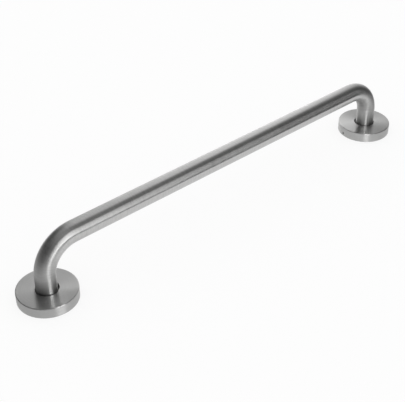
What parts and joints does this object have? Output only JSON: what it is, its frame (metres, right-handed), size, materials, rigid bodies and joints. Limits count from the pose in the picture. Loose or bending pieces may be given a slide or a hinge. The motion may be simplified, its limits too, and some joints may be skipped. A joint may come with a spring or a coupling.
{
  "type": "grab bar",
  "caption": "Straight round grab bar, bent back to the wall at both ends, with round mounting plates under machined cover roses held by grub screws.",
  "frame": {"origin": "on the wall plane, midway between the two legs", "axes": "+X along the bar from the left leg to the right leg, +Z away from the wall, +Y across the bar"},
  "size_m": [0.6214, 0.0725, 0.086],
  "materials": {
    "tube": "satin, brushed round the tube",
    "rose": "satin, turned",
    "plate": "mill finish, welded",
    "grub_screw": "plain machined"
  },
  "bodies": {
    "root": {"bar_tube": "tube", "mounting_plate_left": "plate", "mounting_plate_right": "plate", "rose_left": "rose", "rose_right": "rose", "grub_screw_left": "grub_screw", "grub_screw_right": "grub_screw"}
  },
  "joints": []
}
